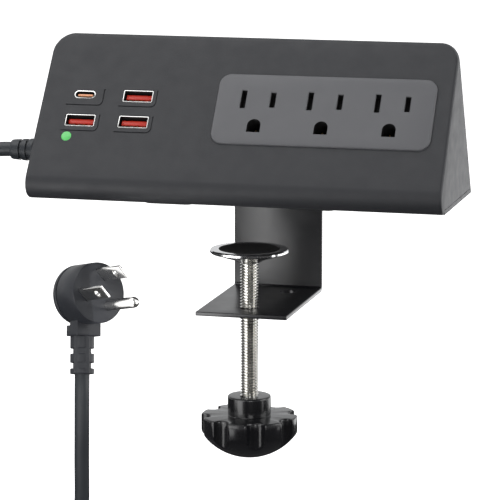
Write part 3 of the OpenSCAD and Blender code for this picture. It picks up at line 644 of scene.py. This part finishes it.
def screw_heads(name, places, z, head_r, shank_r, length, stands_for):
    """Countersunk screws pointing up, with crossed driver recesses."""
    made = []
    for i, (x, y) in enumerate(places):
        at = Matrix.Translation((x, y, z))
        v, f = lathe([(0, 0.0), (head_r - 0.15, 0.0), (head_r, 0.1), (head_r, 0.25), (shank_r, 1.4),
                      (shank_r, length - 1), (0.3, length), (0, length)], 24)
        head = piece(f"{name}_{i}", v, f, "steel", at=at)
        crosses = []
        for k in (0, 1):
            v, f = loft([[(a, b, -1) for a, b in rounded(head_r * 1.1, 0.75, 0.1, 2)],
                         [(a, b, 0.9) for a, b in rounded(head_r * 0.55, 0.5, 0.1, 2)]])
            crosses.append(piece(f"x{i}{k}", v, f, at=at @ Matrix.Rotation(pi / 4 + k * pi / 2, 4, "Z")))
        made.append(cut(head, *crosses))
    settle(join(made), "strip", (stands_for,))


screw_heads("case_screws", CASE_SCREWS, 1.8, 2.6, 1.25, 9, "housing_screws")
screw_heads("strap_screws", BRACKET_SCREWS, 0.1, 2.7, 1.25, 8, "bracket_screws")

# ------------------------------------------------------------------ clamp screw, dish and knob
RIM, CUP, NECK = -20.8, -24.4, -26.6
dish_profile = [(2.55, NECK), (4.8, NECK), (5.2, NECK + 0.2), (6.4, NECK + 1.0), (9.0, NECK + 1.75),
                (12.0, NECK + 2.7), (15.0, RIM - 2.0), (16.3, RIM - 1.75), (16.8, RIM - 1.3),
                (16.8, RIM - 0.5), (16.5, RIM - 0.1), (16.1, RIM), (13.5, RIM), (13.15, RIM - 0.08),
                (5.0, CUP), (2.55, CUP)]
v, f = lathe(dish_profile, 96)
piece("clamp_dish", v, f, "chrome", "pad", "bright_chrome", ("pressure_pad",))
# Black insert in the chrome cup: painted reflection, standing in for the dark surroundings that the chrome
# reflects.
lining = [(0, RIM - 2.5), (4.2, RIM - 2.5), (4.2, CUP + 0.05), (5.0, CUP + 0.05), (13.1, RIM - 0.12),
          (12.8, RIM - 0.02), (12.3, RIM - 0.06), (11.0, RIM - 0.6), (9.0, RIM - 1.1), (6.5, RIM - 1.45),
          (4.5, RIM - 1.6), (0, RIM - 1.7)]
v, f = lathe(lining, 96)
piece("painted_reflection_insert", v, f, "pad", "pad", "pad_rubber", ("pad_cushion",))

PITCH, TOP_R, ROOT_R = 1.25, 4.0, 3.12
PER, THREAD_TURNS = 28, 63
rings = []
for i in range(THREAD_TURNS * PER + 1):
    a = 2 * pi * i / PER
    z = -105.0 + PITCH * i / PER
    rings.append([(r * cos(a), r * sin(a), z + dz) for r, dz in
                  ((1.5, 0.0), (1.5, PITCH * 0.98), (ROOT_R, PITCH * 0.98), (ROOT_R, PITCH * 0.84),
                   (TOP_R, PITCH * 0.54), (TOP_R, PITCH * 0.44), (ROOT_R, PITCH * 0.14), (ROOT_R, 0.0))])
v, f = loft(rings)
thread = piece("screw_thread", v, f, "rod", angle=25)
rod_profile = [(0, -104.0), (3.1, -104.0), (3.1, NECK - 0.3), (2.5, NECK), (2.5, CUP), (3.5, CUP + 0.05),
               (3.5, CUP + 0.55), (2.6, CUP + 0.95), (0, CUP + 1.0)]
v, f = lathe(rod_profile, 40)
core = piece("screw_core", v, f, "rod")
# the thread is trimmed to the rod's length
v, f = lathe([(0, -104.0), (5, -104.0), (5, NECK - 0.8), (3.8, NECK - 0.05), (0, NECK - 0.05)], 40)
trim = piece("trim", v, f)
cut(thread, trim, operation="INTERSECT")
settle(thread, "screw", ("clamp_screw",))
settle(core, "screw")

KNOB_R, LOBES, FLUTE_R, DOME_R = 20.8, 8, 4.0, 25.17
outline = []
for i in range(LOBES):
    # a hollow centred on the sector's middle, then the round lobe after it
    mid = 2 * pi * (i + 0.5) / LOBES
    for k in range(-8, 9):
        t = radians(78 * k / 8)
        x, y = KNOB_R + 0.2 - FLUTE_R * cos(t), FLUTE_R * sin(t)
        outline.append((x * cos(mid) - y * sin(mid), x * sin(mid) + y * cos(mid)))
    edge = 11.9
    for r, a in [(KNOB_R - 0.12, edge)] + [(KNOB_R, edge + 1 + (43 - 2 * edge) * k / 12) for k in range(13)] \
            + [(KNOB_R - 0.12, 45 - edge)]:
        outline.append((r * cos(mid + radians(a)), r * sin(mid + radians(a))))


def knob_row(z, most, inset):
    """The fluted outline drawn in, and held inside a circle."""
    out = []
    for x, y in outline:
        r = hypot(x, y)
        g = (min(r, most) - inset) / r
        out.append((x * g, y * g, z))
    return out


rows = [(-85.3, 4.0, 0), (-85.0, 8.6, 0), (-85.1, 9.0, 0), (-85.4, 9.25, 0), (-85.9, 9.3, 0), (-93.2, 9.3, 0),
        (-93.4, 9.5, 0), (-93.4, KNOB_R, 0.75), (-93.48, KNOB_R, 0.4), (-93.7, KNOB_R, 0.12),
        (-94.1, KNOB_R, 0), (-97.0, KNOB_R, 0), (-100.2, KNOB_R, 0), (-100.9, KNOB_R - 0.1, 0),
        (-101.45, KNOB_R - 0.35, 0)]
for k in range(26):
    r = 20.2 - 3.9 * k / 14 if k < 14 else 16.3 * (1 - (k - 14) / 11.2)
    rows.append((-112 + DOME_R - sqrt(DOME_R ** 2 - r ** 2), r, 0))
v, f = loft([knob_row(*row) for row in rows])
piece("clamp_handle", v, f, "black_gloss", "screw", "knob_plastic", ("clamp_knob",), angle=40)

# ------------------------------------------------------------------ plug
DISC = PLUG @ Matrix.Translation((0, -12.8, -39.3)) @ Matrix.Rotation(-pi / 2, 4, "X")
R = 13.0
v, f = lathe([(0, 0), (12.35, 0), (12.8, 0.12), (R, 0.5), (R, 13.1), (12.8, 13.45), (12.4, 13.6),
              (0, 13.6)], 96)
disc = piece("plug_disc", v, f, "plug", at=DISC)
blocks = []
for name, depth, z0, z1 in (("low", 8.6, NECK_END, -52.6), ("high", 6.0, NECK_END + 1, -46.0)):
    v, f = prism(rounded(12.2, depth, 0.45, 3, 0, depth / 2 - 5.3), z0, z1)
    blocks.append(piece("neck_" + name, v, f, at=PLUG))
bevel(blocks[0], 0.25, 2, 60)
cut(disc, *blocks, operation="UNION")
PINS = (PLUG @ Matrix.Translation((0, -12.8, -39.3)) @ Matrix.Rotation(pi / 4, 4, "Y")
        @ Matrix.Rotation(pi / 2, 4, "X"))
BLADES = ((-4.75, -6.35, "line_blade"), (-4.75, 6.35, "neutral_blade"))
BLADE_W, BLADE_T, BLADE_EYE = 6.35, 1.5, 11.7
holes = []
for x, y, name in BLADES:
    v, f = prism(rounded(6.45, 1.6, 0.1, 2, x, y), -4.0, 3)
    holes.append(piece("hole_" + name, v, f, at=PINS))
v, f = prism(circle(2.42, 32, 7.15, 0), -4.0, 3)
holes.append(piece("hole_pin", v, f, at=PINS))
cut(disc, *holes)
settle(disc, "strip", ("plug_body",))
for x, y, name in BLADES:
    w, t = BLADE_W / 2, BLADE_T / 2
    v, f = prism([(x - w, y - t), (x + w, y - t), (x + w, y + t), (x - w, y + t)], -4, 17)
    blade = piece("pin_" + name, v, f, "nickel", at=PINS)
    v, f = lathe([(0, -3), (1.6, -3), (1.6, 3), (0, 3)], 24)
    eye_at = PINS @ Matrix.Translation((x, y, BLADE_EYE)) @ Matrix.Rotation(pi / 2, 4, "X")
    eye = piece("eye", v, f, at=eye_at)
    bevel(blade, 0.32, 3)
    cut(blade, eye)
    settle(blade, "strip", (name,))
v, f = lathe([(0, -4), (2.38, -4), (2.38, 18.7), (2.3, 19.5), (2.0, 20.3), (1.4, 20.8), (0.7, 21.0),
              (0, 21.0)], 32)
ground_pin = piece("pin_ground", v, f, "nickel", at=PINS @ Matrix.Translation((7.15, 0, 0)))
settle(ground_pin, "strip", ("ground_pin",))
v, f = lathe([(0, 13.55), (12.0, 13.55), (12.0, 14.2), (12.7, 14.25), (R, 14.6), (R, 15.7), (12.8, 16.25),
              (12.3, 16.6), (11.5, 16.8), (0, 16.8)], 96)
settle(piece("plug_rear", v, f, "plug", at=DISC), "strip", ("plug_cap",))

parts = []
for z0, z1 in ((-73.3, -71.0), (-68.5, -64.7), (-62.4, NECK_END)):
    v, f = lathe([(3.3, z0), (4.95, z0), (5.15, z0 + 0.2), (5.15, z1 - 0.2), (4.95, z1), (3.3, z1)], 48)
    parts.append(piece("rib", v, f, "plug", at=PLUG))
v, f = lathe([(3.3, -73.2), (3.9, -73.2), (3.9, NECK_END), (3.3, NECK_END)], 48)
parts.append(piece("sleeve", v, f, "plug", at=PLUG))
for y in (-4.1, 4.1):
    v, f = prism(rounded(6.6, 1.4, 0.2, 2, 0, y), -73.2, NECK_END)
    parts.append(piece("web", v, f, "plug", at=PLUG @ Matrix.Rotation(radians(14.7 - 51), 4, "Z")))
sleeve = join(parts)
sleeve.name = "plug_sleeve"
settle(sleeve, "strip", ("plug_relief",))

# ------------------------------------------------------------------ cord entry, tie and the inside
ENTRY = cord_exit @ Matrix.Rotation(-pi / 2, 4, "Y")
grip = [(3.3, -4.3), (6.4, -4.3), (6.4, -2.45), (5.0, -2.4), (5.0, 0), (6.1, 0.05), (6.2, 0.4)]
for k in range(6):
    z = 2.2 + 3.3 * k
    r = 6.15 - 1.8 * z / 24
    grip += [(r, z), (r - 0.05, z + 0.1), (r - 0.9, z + 0.25), (r - 0.95, z + 1.15), (r - 0.12, z + 1.3)]
grip += [(4.45, 22.6), (4.3, 23.6), (4.0, 24.0), (3.3, 24.0)]
v, f = lathe(grip, 48)
boot = piece("cord_boot", v, f, "cord", "strip", "cord_rubber", ("strain_relief",), at=ENTRY)

TIE_X = COIL.x + 36.6
inner, outer = rounded(20.4, 13.4, 5.0, 8), rounded(22.4, 15.4, 6.0, 8)
loops = []
for y in (-6, 6):
    loops.append([(TIE_X + a, COIL.y + y, (LOW + HIGH) / 2 + b) for a, b in outer])
    loops.append([(TIE_X + a, COIL.y + y, (LOW + HIGH) / 2 + b) for a, b in inner])
loops = [loops[0], loops[2], loops[3], loops[1]]
v, f = loft(loops, closed_path=True)
strap_tie = piece("coil_tie", v, f, "tie")
v, f = prism(rounded(9.0, 12.0, 1.5, 5, TIE_X + 2, COIL.y), (LOW + HIGH) / 2 + 6.6, (LOW + HIGH) / 2 + 7.5)
tab = piece("tie_tab", v, f, "tie")
bevel(tab, 0.2, 2)
join([strap_tie, tab])
settle(strap_tie, "strip", ("cord_tie",))

# return springs of the shutters
SPRING_TURNS, SPRING_STEPS, SPRING_LONG, SPRING_R = 8, 14, 6.7, 0.72
for name, x in zip(("left", "middle", "right"), OUTLETS):
    start = Vector((x - 0.85, SLOT_S + 7.6, -4.6))
    path = []
    for i in range(SPRING_TURNS * SPRING_STEPS + 1):
        a = 2 * pi * i / SPRING_STEPS
        along = SPRING_LONG * i / (SPRING_TURNS * SPRING_STEPS)
        path.append(ON_FACE @ (start + Vector((along, SPRING_R * cos(a), SPRING_R * sin(a)))))
    v, f = swept(path, 0.16, 8)
    spring = piece(f"return_spring_{name}", v, f, "steel")
    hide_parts(f"shutter_spring_{name}")
    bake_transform(spring)

# the transformer: bobbin and taped winding
x0, y0, z0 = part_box("transformer")[0] / MM
parts = []
for a, b, w, h, low, high in ((7, 6.5, 14, 13, 0, 2), (7, 6.5, 14, 13, 10, 11.5), (7, 6.5, 10, 10, 2, 10)):
    v, f = prism(rounded(w, h, 1.0, 4, x0 + a, y0 + b), z0 + low, z0 + high)
    parts.append(piece("t", v, f, "tape"))
    bevel(parts[-1], 0.3, 2)
settle(join(parts), "strip", ("transformer",))
lo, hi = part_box("capacitor")
cx, cy, cz = (lo.x + hi.x) / 2 / MM, (lo.y + hi.y) / 2 / MM, lo.z / MM
v, f = lathe([(0, 0), (3.7, 0), (4.0, 0.3), (4.0, 1.4), (3.7, 1.8), (4.0, 2.2), (4.0, 10.6), (3.7, 10.95),
              (3.2, 11.0), (3.1, 10.8), (0, 10.8)], 40)
settle(piece("electrolytic", v, f, "inner", at=Matrix.Translation((cx, cy, cz))), "strip",
       ("capacitor",))

for node, mat in (("outlet_carrier", "inner"), ("shutter_left", "shutter"), ("shutter_middle", "shutter"),
                  ("shutter_right", "shutter"), ("neutral_bus", "brass"), ("line_bus", "brass"),
                  ("ground_bus", "brass"), ("usb_board", "board"), ("supply_board", "board"),
                  ("board_screws", "steel"), ("indicator_led", "lamp"), ("neutral_wire", "white_wire"),
                  ("line_wire", "black_wire"), ("ground_wire", "green_wire"), ("cord_clamp", "inner"),
                  ("cord_clamp_screws", "steel")):
    ob = frame["nodes"][node]
    for s in ob.material_slots:
        s.material = M[mat]
    if not ob.material_slots:
        ob.data.materials.append(M[mat])

# ------------------------------------------------------------------ stage and light
ground = bpy.data.meshes.new("floor")
ground.from_pydata([(-9, -6, FLOOR * MM - 0.0004), (9, -6, FLOOR * MM - 0.0004), (9, 12, FLOOR * MM - 0.0004),
                    (-9, 12, FLOOR * MM - 0.0004)], [], [(0, 1, 2, 3)])
floor = bpy.data.objects.new("floor", ground)
bpy.context.scene.collection.objects.link(floor)
ground.materials.append(material("floor_white", (0.9, 0.9, 0.9), 0.9, mottle=0.0, emit=(1, 1, 1, 1.25)))


def card(name, corners, z, colour, strength=0.0):
    """Flat card above the floor that only the object's surfaces see."""
    me = bpy.data.meshes.new(name)
    me.from_pydata([(x, y, z) for x, y in corners], [], [tuple(range(len(corners)))])
    me.materials.append(material(name, (colour, colour, colour), 0.9, mottle=0.0, spec=0.0,
                                 emit=(1, 1, 1, strength) if strength else None))
    ob = bpy.data.objects.new(name, me)
    bpy.context.scene.collection.objects.link(ob)
    ob.visible_camera = False
    ob.visible_shadow = False


card("shade_card", [(-2.5, -2.5), (2.5, -2.5), (2.5, 0.05), (0.12, 0.3), (-0.3, 2.5), (-2.5, 2.5)],
     FLOOR * MM + 0.0004, 0.012, 0.03)
card("glow_card",
     [(-0.16, -0.19), (-0.09, -0.24), (-0.30, -0.82), (-0.95, -0.40), (-0.78, -0.22), (-0.42, -0.32)],
     FLOOR * MM + 0.0008, 0.5, 2.3)
card("side_card", [(0.42, -0.05), (0.95, -0.10), (0.95, 0.10), (0.42, 0.03)], FLOOR * MM + 0.0008, 0.5, 1.65)

world = bpy.data.worlds.new("studio")
bpy.context.scene.world = world
world.use_nodes = True
wn = world.node_tree
coords = wn.nodes.new("ShaderNodeTexCoord")
split = wn.nodes.new("ShaderNodeSeparateXYZ")
wn.links.new(coords.outputs["Generated"], split.inputs["Vector"])
tone = wn.nodes.new("ShaderNodeMapRange")
tone.inputs["From Min"].default_value = -0.9
tone.inputs["From Max"].default_value = 0.5
tone.inputs["To Min"].default_value = 0.24
tone.inputs["To Max"].default_value = 0.75
wn.links.new(split.outputs["Y"], tone.inputs["Value"])
wn.links.new(tone.outputs["Result"], wn.nodes["Background"].inputs["Strength"])
wn.nodes["Background"].inputs["Color"].default_value = (0.98, 0.99, 1, 1)


def light(name, place, target, size, power):
    data = bpy.data.lights.new(name, "AREA")
    data.shape = "RECTANGLE"
    data.size, data.size_y = size
    data.energy = power
    ob = bpy.data.objects.new(name, data)
    bpy.context.scene.collection.objects.link(ob)
    ob.location = place
    ob.rotation_euler = (Vector(target) - Vector(place)).to_track_quat("-Z", "Y").to_euler()
    return ob


light("top_box", (-0.7, -0.2, 1.5), (0, 0.0, 0), (1.4, 1.2), 11.6)
light("right_box", (1.4, 0.15, 0.45), (0, 0, 0), (0.9, 1.1), 8.0)
light("left_box", (-0.45, -1.45, 0.4), (0, 0, 0), (0.5, 0.5), 1.3)
light("front_box", (0.55, -1.35, 0.12), (0, 0, 0), (0.5, 0.4), 3.2)
side = light("side_glow", (-0.045, -0.045, -0.060), (0, 0, -0.060), (0.05, 0.08), 0.016)
side.visible_camera = False
light("strap_box", (-0.17, -0.30, -0.065), (0.0, 0.05, 0), (0.22, 0.09), 0.17)
bpy.context.scene.view_settings.view_transform = "Standard"
